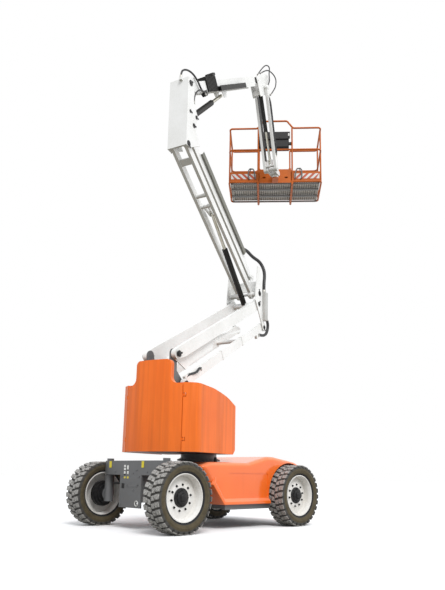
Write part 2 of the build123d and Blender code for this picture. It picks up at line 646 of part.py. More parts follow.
def cable_carrier():
    tray = BOOM.bar((1060, 2130), (-135, -75.3), (-146, -70))
    tray -= BOOM.bar((1060 - 1, 2131), (-130, -80), (-141, -69))
    chain = BOOM.bar((1080, 2110), (-129, -81), (-140.7, -84))
    for n in range(21):
        start = 1090 + 48 * n
        chain += BOOM.bar((start, start + 30), (-127, -83), (-84, -78))
    return tray, chain


def boom_inner():
    s, t = TIP_PIVOT
    y = (-INNER_HALF, INNER_HALF)
    low, high = INNER_T
    beam = BOOM.bar((900, s), y, INNER_T)
    beam -= BOOM.bar((899, s - 120), (-INNER_HALF + 8, INNER_HALF - 8), (low + 8, high - 8))
    beam += cross_bar(BOOM.at(s, t), 52, y)
    return beam - cross_bar(BOOM.at(s, t), 25 + RUN, (-70, 70))


def tip_bracket():
    """Levelled bracket at the boom's tip, with the jib's pivot on its outside."""
    plate = BOOM.block([(2836, -300), (2858, -330), (3190, -318), (3300, -285), (3415, -190), (3470, -90), (3462, 20),
                        (3380, 50), (2900, 40), (2860, -20)], TIP_Y)
    plate += cross_bar(JIB_PIVOT, LINK_PIN, (TIP_Y[1] - 1, JIB_Y[1] + 5))
    bracket = both(plate)
    bracket += cross_bar(BOOM.at(*TIP_PIVOT), 25, (-TIP_Y[1] - 4, TIP_Y[1] + 4))
    inner = (-TIP_Y[0] - 1, TIP_Y[0] + 1)
    bracket += BOOM.block([(2838, -300), (2862, -210), (2876, -214), (2856, -300)], inner)
    return bracket + cross_bar(JIB_BASE, 18, inner)


# ---- Jib ----
def jib_arm():
    half = JIB_DEPTH / 2
    end = JIB.length
    rail = JIB.bar((0, end), JIB_Y, (-half, half))
    rail += cross_bar(JIB_PIVOT, 60, JIB_Y) + cross_bar(JIB_FOOT, half, JIB_Y)
    rail -= cross_bar(JIB_PIVOT, LINK_PIN + RUN, (80, 140))
    rail -= cross_bar(JIB_FOOT, 25 + RUN, (80, 140))
    jib = both(rail)
    inner = (-JIB_Y[0] - 1, JIB_Y[0] + 1)
    jib += JIB.bar((end - 75, end - 50), inner, (-half, half - 14))
    lug = JIB.block([(JIB_EYE - 50, -50), (end - 60, -50), (end - 60, 50), (JIB_EYE - 50, 50)], (28, 40))
    return jib + both(lug)


def jib_bracket():
    """Levelled bracket at the jib's foot, with the rotator's drum."""
    x, z = JIB_FOOT
    plate = strap(JIB_FOOT, (ROTATOR_X, z), (50, 50), (52, 78))
    bracket = both(plate) + cross_bar(JIB_FOOT, 25, (-JIB_Y[1] - 5, JIB_Y[1] + 5))
    bracket += box((x + 75, ROTATOR_X), (-53, 53), (z - 50, z + 50))
    bracket += upright(ROTATOR_X, 0, ROTATOR_R, (z - 85, z + 85))
    return bracket - upright(ROTATOR_X, 0, 20 + RUN, (z - 100, z + 100))


# ---- Platform, drawn in its own axes and then placed ----
def placed(shape):
    seat = Pos(ROTATOR_X, 0, PLATFORM_Z) * Rot(0, 0, PLATFORM_YAW) * Pos(PLATFORM_REACH, 0, 0)
    return seat * shape


def platform_mount():
    z = JIB_FOOT[1] - PLATFORM_Z
    axis_x = -PLATFORM_REACH
    back = -RAIL_R - SEAT
    plate = box((back - 12, back), (-310, 310), (-62, 228))
    for y in (-220, 220):
        plate -= Pos(-26, y, 50) * Rot(0, 90, 0) * Cylinder(16, 20)
        plate -= box((-40, -10), (y - 30, y + 30), (34, 66))
    mount = plate
    for low in (z - 105, z + 87):
        mount += box((axis_x, back - 1), (-60, 60), (low, low + 18)) + upright(axis_x, 0, 60, (low, low + 18))
    mount += upright(axis_x, 0, 20, (z - 105, z + 105))
    return mount


def platform_frame():
    half, d, gate = PLATFORM_W / 2, PLATFORM_D, GATE_Y
    sides = tube([(d, gate, RAIL_TOP), (d, half, RAIL_TOP), (0, half, RAIL_TOP), (0, 360, RAIL_TOP),
                  (0, 240, 1310), (0, -240, 1310), (0, -360, RAIL_TOP), (0, -half, RAIL_TOP), (d, -half, RAIL_TOP),
                  (d, -gate, RAIL_TOP)], RAIL_R, 60)
    middle = tube([(d, gate, RAIL_MID), (d, half, RAIL_MID), (0, half, RAIL_MID), (0, -half, RAIL_MID),
                   (d, -half, RAIL_MID), (d, -gate, RAIL_MID)], RAIL_R, 80)
    frame = sides + middle
    for y in (-POST_Y, POST_Y):
        frame += rod((0, y, RUNNER_Z), (0, y, RAIL_TOP), STILE_R)
        frame += rod((-20, y, RUNNER_Z), (d + 55, y, RUNNER_Z), RUNNER_R)
    for y in (-gate, gate):
        frame += rod((d, y, RUNNER_Z), (d, y, RAIL_TOP), STILE_R)
    for x in (110, d - 110):
        for y in (-half, half):
            frame += rod((x, y, -20), (x, y, RAIL_TOP), STILE_R)
    ring = tube([(0, half, -24), (d, half, -24), (d, -half, -24), (0, -half, -24)], RAIL_R, 60, closed=True)
    return frame + ring


def platform_floor():
    half, d = PLATFORM_W / 2 - 22, PLATFORM_D - 22
    plate = box((22, d), (-half, half), (-5, 6))
    for y in (-half + 30, -POST_Y, POST_Y, half - 30):
        plate += box((62, d - 40), (y - 20, y + 20), (RUNNER_Z + RUNNER_R + SEAT, -5))
    return plate


def toe_boards():
    half, d = PLATFORM_W / 2 - 20, PLATFORM_D - 20
    wall = box((20, d), (-half, half), (6.3, 200)) - box((24, d - 4), (-half + 4, half - 4), (0, 210))
    return wall - box((d - 40, d + 10), (-300, 300), (0, 210))


def platform_console():
    body = side([(30, 724), (30, 1092), (120, 1100), (260, 980), (260, 900), (150, 724)], (-279, 327), 14)
    body -= side([(20, 740), (20, 760), (60, 760), (60, 740)], (-400, 400))
    for y in ((-POST_Y - 14, -270), (300, POST_Y + 14)):
        body += box((STILE_R + SEAT, 60), y, (800, 850))
    return body


def gate_bar():
    d, z = PLATFORM_D, GATE_BAR_Z
    bar = rod((d + 44, -GATE_Y - 60, z), (d + 44, GATE_Y + 60, z), STILE_R)
    for y in (-GATE_Y, GATE_Y):
        bar += upright(d, y, STILE_R + 12, (z - 18, z + 18)) + box((d, d + 44), (y - 8, y + 8), (z - 8, z + 8))
        bar -= upright(d, y, STILE_R + 0.3, (z - 20, z + 20))
    return bar


def step_hoops():
    """Two small hoops standing on the near edge of the floor, beside the mount."""
    hoops = []
    for middle in (-460, 460):
        feet = [(46, middle + a, b) for a, b in ((-60, 7.3), (-34, 275), (34, 275), (60, 7.3))]
        hoops.append(tube(feet, HOOP_R, 24))
    return hoops[0] + hoops[1]


# ---- Hoses over the joints ----
def along(member, s, t, y):
    x, z = member.at(s, t)
    return (x, y, z)


def head_hose():
    return hose([(-855, -40, 6330.3), (-855, -40, 6430), (-790, -50, 6510), (-690, -68, 6552), (-580, -92, 6538),
                 (-480, -106, 6475), (-402, -102, 6425), (-327, -102, 6397.5)], 14)


def hose_block():
    """Clamp on the near side of the boom where the hose from the head goes in."""
    return BOOM.block([(405, -165), (470, -119), (530, -110), (530, -190), (440, -205)], (-128, -BOOM_HALF - SEAT))


def mid_top_hose():
    start = [along(CENTRE, 619.7, 95, -20), along(CENTRE, 530, 95, -20)]
    return hose(start + [(1289, -50, 4420), (1464, -80, 4347), (1626, -140, 4308), (1667, -200, 4180),
                         (1603, -250, 4024), (1530, -270, 3868), (1530, -270, 3700.3)], 28)


def mid_low_hose():
    end = [along(LINK, 2500, -75, -231), along(LINK, 2420.3, -75, -231)]
    return hose([(1590.3, -270, 3260), (1650, -270, 3260), (1697, -270, 3190), (1693, -268, 3110), (1660, -262, 3020),
                 (1590, -250, 2972), (1510, -236, 2957)] + end, 24)


# ---- Cylinders ----
def barrel(base, eye, size, pin, half):
    axis = Member(base, eye)
    length, radius = size
    inner = axis.at(60)
    end = axis.at(length)
    body = rod((inner[0], 0, inner[1]), (end[0], 0, end[1]), radius)
    body += axis.bar((0, 80), (-half, half), (-radius + 8, radius - 8)) + cross_bar(base, radius - 4, (-half, half))
    body -= cross_bar(base, pin + RUN, (-half - 1, half + 1))
    deep = axis.at(length + 1)
    start = axis.at(160)
    return body - rod((start[0], 0, start[1]), (deep[0], 0, deep[1]), radius * 0.6 + 0.3)


def piston(base, eye, size, start):
    axis = Member(base, eye)
    length, radius = size
    first = axis.at(start)
    last = axis.at(axis.length - 20)
    body = rod((first[0], 0, first[1]), (last[0], 0, last[1]), radius * 0.6)
    return body + cross_bar(eye, 25, (-EYE_HALF, EYE_HALF))


RISER_EYE_AT = UPPER.at(*RISER_EYE)
LIFT_EYE_AT = BOOM.at(*LIFT_EYE)
JIB_EYE_AT = JIB.at(JIB_EYE)

CHASSIS = {
    "chassis_frame": chassis_frame(),
    "chassis_cover": chassis_cover(),
    "steer_axle": steer_axle(),
    "drive_axle": drive_axle(),
    "slew_pedestal": slew_pedestal(),
    "steer_knuckle_left": steer_knuckle(1),
    "steer_knuckle_right": steer_knuckle(-1),
}
plain_tyre = tyre()
for end_name, end_x in (("steer", STEER_X), ("drive", DRIVE_X)):
    for side_name, side_y in (("left", WHEEL_Y), ("right", -WHEEL_Y)):
        CHASSIS[f"tyre_{end_name}_{side_name}"] = Pos(end_x, side_y, AXLE_Z) * plain_tyre
        CHASSIS[f"rim_{end_name}_{side_name}"] = rim(end_x, side_y)

carrier_tray, carrier_chain = cable_carrier()
UPPER_WORKS = {
    "turntable_base": turntable_base(),
    "hood_rear": hood_rear(),
    "hood_left": hood_door(1),
    "hood_right": hood_door(-1),
    "counterweight": counterweight(),
    "power_pack": box((-650, -60), (-530, -300), (DECK_Z[1] + 0.3, 1480)),
    "hydraulic_tank": box((-620, -90), (310, 520), (DECK_Z[1] + 0.3, 1440)),
    "lower_arm": lower_arm(),
    "lower_link": lower_link(),
    "mid_bracket": mid_bracket(),
    "mid_hose_channel": mid_hose_channel(),
    "upper_arm": upper_arm(),
    "upper_link": upper_link(),
    "hose_tray": hose_tray(),
    "head_bracket": head_bracket(),
    "boom_base": boom_base(),
    "boom_collar": boom_collar(),
    "carrier_tray": carrier_tray,
    "carrier_chain": carrier_chain,
    "boom_inner": boom_inner(),
    "tip_bracket": tip_bracket(),
    "jib_arm": jib_arm(),
    "jib_bracket": jib_bracket(),
    "platform_mount": placed(platform_mount()),
    "platform_frame": placed(platform_frame()),
    "platform_floor": placed(platform_floor()),
    "toe_boards": placed(toe_boards()),
    "platform_console": placed(platform_console()),
    "gate_bar": placed(gate_bar()),
    "step_hoops": placed(step_hoops()),
    "hose_head": head_hose(),
    "hose_block": hose_block(),
    "hose_mid_top": mid_top_hose(),
    "hose_mid_low": mid_low_hose(),
    "riser_barrel": barrel(ARM_TIP, RISER_EYE_AT, RISER_BARREL, 45, 30),
    "riser_rod": piston(ARM_TIP, RISER_EYE_AT, RISER_BARREL, 700),
    "lift_barrel": barrel(LIFT_BASE, LIFT_EYE_AT, LIFT_BARREL, HEAD_PIN, 40),
    "lift_rod": piston(LIFT_BASE, LIFT_EYE_AT, LIFT_BARREL, 500),
    "jib_barrel": barrel(JIB_BASE, JIB_EYE_AT, JIB_BARREL, 18, 30),
    "jib_rod": piston(JIB_BASE, JIB_EYE_AT, JIB_BARREL, 400),
}

for node, shape in CHASSIS.items():
    export_step(shape, f"parts/{node}.step")
for node, shape in UPPER_WORKS.items():
    export_step(Rot(0, 0, SLEW) * shape, f"parts/{node}.step")
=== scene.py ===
from math import cos, pi, radians, sin

import bmesh
import bpy
from mathutils import Matrix, Vector


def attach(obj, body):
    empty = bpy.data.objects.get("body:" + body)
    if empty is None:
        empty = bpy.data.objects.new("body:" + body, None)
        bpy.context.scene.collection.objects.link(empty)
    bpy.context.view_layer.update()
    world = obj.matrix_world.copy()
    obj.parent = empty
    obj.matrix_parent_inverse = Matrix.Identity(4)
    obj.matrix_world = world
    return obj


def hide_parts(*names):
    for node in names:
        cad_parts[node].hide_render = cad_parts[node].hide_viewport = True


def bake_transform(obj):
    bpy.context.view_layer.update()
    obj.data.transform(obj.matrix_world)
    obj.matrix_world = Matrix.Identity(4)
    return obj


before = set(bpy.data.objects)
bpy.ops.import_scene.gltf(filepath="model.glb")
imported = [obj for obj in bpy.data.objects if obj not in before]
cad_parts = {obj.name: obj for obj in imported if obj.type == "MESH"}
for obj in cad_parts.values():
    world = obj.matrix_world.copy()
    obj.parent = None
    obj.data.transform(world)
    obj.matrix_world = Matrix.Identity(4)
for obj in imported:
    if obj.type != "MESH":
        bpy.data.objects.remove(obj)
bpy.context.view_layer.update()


# ---- Camera ----
# It stands off the machine's rear right corner, below hip height, and looks up along the risers.
# The lens is about as long as the frame is high, and the frame is shifted a little up and aside.
EYE = Vector((-5.783, -6.259, 0.693))
HEADING, PITCH, ROLL = radians(44.330), radians(12.0), radians(0.963)

right = Vector((sin(HEADING), -cos(HEADING), 0))
ahead = Vector((cos(HEADING) * cos(PITCH), sin(HEADING) * cos(PITCH), sin(PITCH)))
above = right.cross(ahead)
across = right * cos(ROLL) + above * sin(ROLL)
upward = above * cos(ROLL) - right * sin(ROLL)
lens = bpy.data.cameras.new("camera")
lens.lens = 36.577
lens.sensor_width = 36
lens.shift_x = -0.0156
lens.shift_y = 0.0873
lens.clip_end = 200
camera = bpy.data.objects.new("camera", lens)
bpy.context.collection.objects.link(camera)
camera.matrix_world = Matrix.Translation(EYE) @ Matrix((across, upward, -ahead)).transposed().to_4x4()
bpy.context.scene.camera = camera
bpy.context.scene.view_settings.view_transform = "Standard"


# ---- Shader sums, and the hoses ----
# Black two-braid hydraulic hose, bundled in a sleeve where it crosses the knuckle between the risers.
# Runs over a joint in a wide loop. Others cross the boom's tip, the jib and the head.
class Wire:
    """A socket of a paint's nodes. Sums on it add Math nodes."""

    def __init__(self, paint, socket):
        self.paint = paint
        self.socket = socket

    def maths(self, operation, *others):
        return self.paint.node("ShaderNodeMath", {"operation": operation}, dict(enumerate((self, *others))))

    def __add__(self, other):
        return self.maths("ADD", other)

    def __sub__(self, other):
        return self.maths("SUBTRACT", other)

    def __mul__(self, other):
        return self.maths("MULTIPLY", other)

    def __pow__(self, other):
        return self.maths("POWER", other)

    def __rsub__(self, other):
        return self * -1 + other

    __radd__ = __add__
    __rmul__ = __mul__

    def over(self, low, high):
        """0 below low, 1 above high, and straight between them."""
        settings = {"data_type": "FLOAT", "interpolation_type": "LINEAR", "clamp": True}
        return self.paint.node("ShaderNodeMapRange", settings, {0: self, 1: low, 2: high, 3: 0.0, 4: 1.0})


class Paint:
    """A node material that is built up from sums on its sockets."""

    def __init__(self, name, **plain):
        self.material = bpy.data.materials.new(name)
        self.material.use_nodes = True
        self.tree = self.material.node_tree
        self.surface = self.tree.nodes["Principled BSDF"]
        for key, value in plain.items():
            self.surface.inputs[key.replace("_", " ")].default_value = value

    def node(self, kind, settings=None, inputs=None, output=0):
        """Adds a node: its settings first, then its sockets' values and links. Gives one output."""
        made = self.tree.nodes.new(kind)
        for key, value in (settings or {}).items():
            setattr(made, key, value)
        for key, value in (inputs or {}).items():
            if isinstance(value, Wire):
                self.tree.links.new(value.socket, made.inputs[key])
            else:
                made.inputs[key].default_value = value
        return Wire(self, made.outputs[output])

    def wear(self, name, value):
        """Feeds one of the surface's sockets."""
        self.tree.links.new(value.socket, self.surface.inputs[name])

    def place(self, axis=None):
        """Where a point is on its own piece, in metres, or one part of that."""
        where = self.node("ShaderNodeTexCoord", output="Object")
        if axis is None:
            return where
        return self.node("ShaderNodeSeparateXYZ", None, {0: where}, output=axis)

    def noise(self, scale, detail, where=None):
        """Cloudy noise from 0 to 1, with this many clouds to a metre."""
        inputs = {"Vector": where or self.place(), "Scale": scale, "Detail": detail, "Roughness": 0.55}
        return self.node("ShaderNodeTexNoise", None, inputs)

    def facing(self):
        """How far a surface looks up: 1 for up, -1 for down."""
        outward = self.node("ShaderNodeTexCoord", output="Normal")
        return self.node("ShaderNodeSeparateXYZ", None, {0: outward}, "Z")

    def mix(self, share, first, second):
        """Goes from the first colour to the second as share goes from 0 to 1."""
        first, second = [value if isinstance(value, Wire) else (*value, 1) for value in (first, second)]
        return self.node("ShaderNodeMix", {"data_type": "RGBA"}, {0: share, 6: first, 7: second}, 2)

    def bump(self, height, distance, strength=1.0):
        """Raises the surface by up to a distance in metres, as height goes from 0 to 1."""
        self.wear("Normal", self.node("ShaderNodeBump", None,
                                      {"Height": height, "Distance": distance, "Strength": strength}))


MM = 1000                   # in a metre
SLEW = radians(15.98)       # the upper works stand turned by this on the chassis


def at(x, y, z):
    """A place on the chassis, in millimetres."""
    return Vector((x, y, z)) / MM


def upper(x, y, z):
    """A place on the upper works, in millimetres before they are slewed."""
    return at(x * cos(SLEW) - y * sin(SLEW), x * sin(SLEW) + y * cos(SLEW), z)


rubber = Paint("hose_rubber", Roughness=0.5)
scuffs = rubber.noise(35, 4).over(0.45, 0.75)
rubber.wear("Base Color", rubber.mix(scuffs, (0.008, 0.008, 0.009), (0.035, 0.034, 0.033)))
rubber.bump(rubber.noise(700, 2), 0.0004, 0.6)

HOSES = (
    # name, and its CAD node's where it has one, body, radius in mm, length in m, route on the upper works
    ("hose_head", "head", 14, 0.706,
     ((-855, -40, 6330.3), (-855, -40, 6430), (-790, -50, 6510), (-690, -68, 6552), (-580, -92, 6538),
      (-480, -106, 6475), (-402, -102, 6425), (-327, -102, 6397.5))),
    ("hose_mid_top", "mid", 28, 1.253,
     ((1054.9, -20, 4444.2), (1125.8, -20, 4389.3), (1289, -50, 4420), (1464, -80, 4347), (1626, -140, 4308),
      (1667, -200, 4180), (1603, -250, 4024), (1530, -270, 3868), (1530, -270, 3700.3))),
    ("hose_mid_low", "mid", 24, 0.618,
     ((1590.3, -270, 3260), (1650, -270, 3260), (1697, -270, 3190), (1693, -268, 3110), (1660, -262, 3020),
      (1590, -250, 2972), (1510, -236, 2957), (1443.0, -231, 2956.6), (1373.0, -231, 2918.6))),
    ("tip_hose_upper", "boom_tip", 11, 1.142,
     ((1640, -60, 8010), (1790, -75, 8240), (1953, -90, 8430), (2102, -100, 8475),
      (2060, -105, 8300), (2045, -120, 8200), (2050, -120, 8080), (1985, -92, 7980))),
    ("tip_hose_lower", "boom_tip", 11, 1.223,
     ((1760, -60, 8120), (1907, -70, 8270), (2100, -90, 8410), (2291, -150, 8350),
      (2240, -172, 8122), (2110, -176, 7930), (2030, -150, 7800))),
    ("jib_hose_near", "jib", 9, 1.150,
     ((2023, -120, 7781), (2047, -146, 7704), (2097, -150, 7521), (2176, -150, 7252),
      (2251, -150, 7003), (2318, -152, 6794), (2343, -146, 6718), (2352, -122, 6689))),
    ("jib_hose_far", "jib", 9, 1.159,
     ((1978, -120, 7798), (2004, -146, 7712), (2068, -150, 7512), (2151, -150, 7245),
      (2226, -150, 6996), (2283, -152, 6804), (2309, -146, 6728), (2318, -122, 6699))),
    ("head_hose_side", "head", 12, 0.607,
     ((-650, -150, 5993), (-673, -160, 6108), (-569, -160, 6272), (-396, -140, 6387),
      (-289, -130, 6372))),
    ("link_hose", "lower_tie", 16, 0.460,
     ((-769, -230, 1875), (-760, -236, 1921), (-693, -246, 1967), (-604, -256, 1990),
      (-539, -262, 2018), (-493, -262, 2059), (-452, -256, 2088), (-416, -246, 2085),
      (-400, -236, 2065))),
)
BENDS = {
    # hose: the body past the joint, and where the bend starts and ends
    "hose_mid_top": ("upper_tie", (1626, -140, 4250), (1125.8, -20, 4400)),
    "hose_head": ("boom", (-790, -50, 6510), (-402, -102, 6425)),
}
for node, body, radius, length, route in HOSES:
    line = bpy.data.curves.new(node + "_run", "CURVE")
    line.dimensions = "3D"
    line.bevel_depth = radius / MM
    line.bevel_resolution = 5
    line.resolution_u = 12
    line.use_fill_caps = True
    spline = line.splines.new("NURBS")
    spline.points.add(len(route) - 1)
    for point, place in zip(spline.points, route):
        point.co = (*upper(*place), 1)
    spline.order_u = 3
    spline.use_endpoint_u = True
    line.materials.append(rubber.material)
    hose = bpy.data.objects.new(node + "_run", line)
    bpy.context.collection.objects.link(hose)
    if node in BENDS:
        # Clamped on both sides of a joint, it becomes a plain mesh tube, left where it lies.
        far_body, bend_start, bend_end = BENDS[node]
        line.bevel_depth = 0
        bpy.context.view_layer.update()
        bare = bpy.data.meshes.new_from_object(hose)
        line.bevel_depth = radius / MM
        bpy.context.view_layer.update()
        tube = bpy.data.meshes.new_from_object(hose)
        bpy.data.objects.remove(hose)
        hose = bpy.data.objects.new(node + "_run", tube)
        bpy.context.collection.objects.link(hose)
        tube.shade_smooth()
        upper(*bend_start)
        upper(*bend_end)
        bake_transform(hose)
    else:
        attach(hose, body)
    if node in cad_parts:
        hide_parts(node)
    upper(*route[0])


# ---- Floor and light ----
# A plain white studio floor that runs out of sight, under one large soft key light and a weaker fill.
# It looks white to the camera and in reflections, and sends only a dull light up under the arms.
def seen(paint):
    """1 for what the camera, a reflection or a clear surface shows, 0 for the light that surfaces get."""
    rays = [paint.node("ShaderNodeLightPath", output=name)
            for name in ("Is Camera Ray", "Is Glossy Ray", "Is Transmission Ray")]
    return rays[0].maths("MAXIMUM", rays[1]).maths("MAXIMUM", rays[2])


WHITE = (1.0, 1.0, 1.0)
FLOOR_HALF = 60             # metres
ground = Paint("studio_floor", Roughness=0.9, Specular_IOR_Level=0)
ground.wear("Base Color", ground.mix(seen(ground), (0.40, 0.39, 0.36), WHITE))
sheet = bmesh.new()
bmesh.ops.create_grid(sheet, x_segments=2, y_segments=2, size=FLOOR_HALF)
plane = bpy.data.meshes.new("floor")
sheet.to_mesh(plane)
plane.materials.append(ground.material)
floor = bpy.data.objects.new("floor", plane)
bpy.context.collection.objects.link(floor)

world = bpy.data.worlds.new("studio")
bpy.context.scene.world = world
world.use_nodes = True
# The world's nodes are painted too, but belong to no material.
sky = Paint.__new__(Paint)
sky.tree, sky.surface = world.node_tree, world.node_tree.nodes["Background"]
sky.wear("Color", sky.mix(seen(sky), (0.74, 0.76, 0.79), WHITE))

LAMPS = (
    # name, the way it shines, strength, and how wide it is in degrees
    ("key", (0.35, 0.62, -0.72), 2.1, 25),
    ("fill", (-0.75, 0.55, -0.35), 0.6, 60),
)
for name, aim, strength, spread in LAMPS:
    sun = bpy.data.lights.new(name, "SUN")
    sun.energy = strength
    sun.angle = radians(spread)
    lamp = bpy.data.objects.new(name, sun)
    lamp.rotation_euler = Vector(aim).to_track_quat("-Z", "Y").to_euler()
    bpy.context.collection.objects.link(lamp)


# ---- Tyres ----
# Foam-filled off-road tyres, grey with dust: a round carcass with rows of staggered blocks.
# The sidewall is brown where mud has dried on it, and the bead against the rim is clean and black.
TYRE_R, TREAD_BASE, RIM_SEAT = 414.6, 398, 264
PITCHES = 30                # of the tread, round each shoulder
STEER_X, DRIVE_X = -1058, 1077
WHEEL_Y, AXLE_Z = 820, 415
WHEELS = (
    # end, place along the machine, which side, its name
    ("steer", STEER_X, 1, "left"), ("steer", STEER_X, -1, "right"),
    ("drive", DRIVE_X, 1, "left"), ("drive", DRIVE_X, -1, "right"),
)


def spun(radius, angle, sideways):
    """A place round a wheel's axis."""
    return at(radius * cos(angle), sideways, radius * sin(angle))


def revolved(mesh, section, steps):
    """Sweeps (radius, sideways) points about a wheel's axis."""
    rings = [[mesh.verts.new(spun(r, 2 * pi * n / steps, w)) for r, w in section] for n in range(steps)]
    for n in range(steps):
        one, two = rings[n], rings[(n + 1) % steps]
        for k in range(len(section) - 1):
            mesh.faces.new((one[k], one[k + 1], two[k + 1], two[k]))


def stepped(mesh, rings):
    """Joins two rings of corners, the first left open and the second closed by a face."""
    low, high = rings
    mesh.faces.new(high)
    for k in range(len(high)):
        m = (k + 1) % len(high)
        mesh.faces.new((low[k], low[m], high[m], high[k]))


def finished(name, mesh, paint, body, angle=35, place=(0, 0, 0)):
    """Turns a mesh into a piece of the machine, smooth except over its sharp edges."""
    bmesh.ops.recalc_face_normals(mesh, faces=mesh.faces[:])
    data = bpy.data.meshes.new(name)
    mesh.to_mesh(data)
    mesh.free()
    data.materials.append(paint.material)
    data.shade_smooth()
    data.set_sharp_from_angle(angle=radians(angle))
    piece = bpy.data.objects.new(name, data)
    bpy.context.collection.objects.link(piece)
    piece.location = at(*place)
    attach(piece, body)
    return piece


def softened(piece, width, segments=2, angle=40):
    """Rounds a piece's hard edges by a width in millimetres."""
    bevel = piece.modifiers.new("edges", "BEVEL")
    bevel.width = width / MM
    bevel.segments = segments
    bevel.limit_method = "ANGLE"
    bevel.angle_limit = radians(angle)
    return piece


tread = Paint("tyre_rubber", Roughness=0.85)
reach = (tread.place("X") ** 2.0 + tread.place("Z") ** 2.0) ** 0.5
sideways = tread.place("Y").maths("ABSOLUTE")
bead = reach.over(0.299, 0.304)
mottle = tread.noise(14, 5)
grain = tread.noise(80, 4)
top = (reach + (mottle - 0.5) * 0.010).over(0.398, 0.411)
dust = tread.mix(grain.over(0.38, 0.62), (0.17, 0.165, 0.155), (0.46, 0.45, 0.43))
bare = tread.mix(top, (0.05, 0.048, 0.044), dust)
wall = (sideways.over(0.110, 0.122) * (1 - reach.over(0.364, 0.376))) * bead
mud = tread.mix(mottle.over(0.3, 0.7), (0.046, 0.036, 0.018), (0.085, 0.066, 0.034))
coat = tread.mix(wall, bare, mud)
tread.wear("Base Color", tread.mix(1 - bead, coat, (0.012, 0.012, 0.013)))
tread.bump(mottle * 0.6 + grain * 0.4, 0.004, 0.5)

# One pitch of the tread, unrolled: along the tyre and across from its middle.
BLOCKS = (
    ((-31, 137), (30, 137), (38, 74), (2, 60), (-20, 68)),
    ((-12, 58), (20, 50), (46, 62), (56, 8), (0, 5)),
)
# The foot of a shoulder block, on the sidewall: along the tyre, across from its middle, and its radius.
FOOT = ((-28, 139.5, 403), (27, 139.5, 403), (22, 143.8, 374), (-24, 143.8, 374))
FOOT_DEPTH, BLOCK_SINK = 14, 5
# Half of the carcass, from the rim to the middle of the tread: radius and across.
CARCASS = (
    (RIM_SEAT, 103), (284, 106), (296, 122), (304, 131), (312, 136), (334, 140), (338, 143.5),
    (345, 143.5), (350, 141), (368, 141), (380, 137), (391, 128), (TREAD_BASE, 112), (TREAD_BASE, 0),
)


def carcass_and_blocks():
    mesh = bmesh.new()
    revolved(mesh, CARCASS + tuple((r, -w) for r, w in CARCASS[-2::-1]), 96)
    for out in (-1, 1):
        for n in range(PITCHES):
            middle = 2 * pi * (n + 0.25 * out) / PITCHES
            for block in BLOCKS:
                centre = sum(u for u, w in block) / len(block)
                rings = []
                for radius, grow in ((TREAD_BASE - BLOCK_SINK, 1.06), (TYRE_R, 0.94)):
                    turns = [middle + (centre + (u - centre) * grow) / TYRE_R for u, w in block]
                    rings.append([mesh.verts.new(spun(radius, turn, out * w))
                                  for turn, (u, w) in zip(turns, block)])
                stepped(mesh, rings)
            stepped(mesh, [[mesh.verts.new(spun(r, middle + u / TYRE_R, out * (w - depth)))
                            for u, w, r in FOOT] for depth in (FOOT_DEPTH, 0)])
    return mesh


for end, x, out, hand in WHEELS:
    tyre = finished(f"tyre_{end}_{hand}_tread", carcass_and_blocks(), tread, f"wheel_{end}_{hand}",
                    30, (x, out * WHEEL_Y, AXLE_Z))
    softened(tyre, 2.5, 1)
    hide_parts(f"tyre_{end}_{hand}")


# ---- Rims and hubs ----
# Pressed steel rims in off-white paint, with ten black wheel nuts round a black cast hub and its cap.
# The rims' paint carries dust in patches.
def enamel(name, colour, shade, rough=0.38, dirt=(0.30, 0.27, 0.21), soil=0.15, coat=0.0, **plain):
    """Paint on metal: slight mottling, an orange-peel skin and a film of dirt in patches."""
    made = Paint(name, Coat_Weight=coat, **plain)
    broad = made.noise(2.2, 4)
    fine = made.noise(45, 4)
    tint = made.mix(broad.over(0.3, 0.72), colour, shade)
    film = (fine * broad).over(0.22, 0.5) * soil
    made.wear("Base Color", made.mix(film, tint, dirt))
    made.wear("Roughness", fine * 0.12 + (rough - 0.06) + film * 0.6)
    made.bump(made.noise(260, 2), 0.0003, 0.5)
    return made


def painted(paint, *nodes):
    """Gives CAD nodes their finish."""
    for node in nodes:
        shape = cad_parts[node]
        if not shape.material_slots:
            shape.data.materials.append(paint.material)
        for slot in shape.material_slots:
            slot.material = paint.material


rim_paint = enamel("rim_white", (0.82, 0.81, 0.79), (0.72, 0.70, 0.66), 0.4, (0.32, 0.29, 0.22), 0.35)
painted(rim_paint, *[f"rim_{end}_{hand}" for end, x, out, hand in WHEELS])
cast = Paint("hub_black", Roughness=0.5, Specular_IOR_Level=0.25)
skin = cast.noise(30, 4).over(0.35, 0.75)
cast.wear("Base Color", cast.mix(skin, (0.006, 0.006, 0.007), (0.022, 0.021, 0.02)))
cast.bump(cast.noise(180, 3), 0.0008, 0.6)
DISC_FACE = 44.2            # outer face of the wheel's disc, out from the middle of the tyre
NUT_CIRCLE, NUTS = 148, 10
CAP_CIRCLE, CAP_BOLTS, CAP_STEP = 95, 8, 17
VALVE_R, VALVE_TURN, VALVE_Y, VALVE_LENGTH = 190, pi - 0.4, 22, 30
HUB = (
    # radius, and how far it stands out from the disc
    (110, 0), (110, 9), (103, CAP_STEP), (84, 20), (80, 36), (62, 47), (54, 50), (52, 64), (42, 75),
    (22, 80), (0.5, 81),
)


def round_bar(mesh, start, end, radius, sides=20, taper=1.0):
    """A closed round bar between two places."""
    run = end - start
    turn = run.to_track_quat("Z", "Y").to_matrix().to_4x4()
    bmesh.ops.create_cone(mesh, cap_ends=True, segments=sides, radius1=radius / MM,
                          radius2=radius * taper / MM, depth=run.length,
                          matrix=Matrix.Translation((start + end) / 2) @ turn)


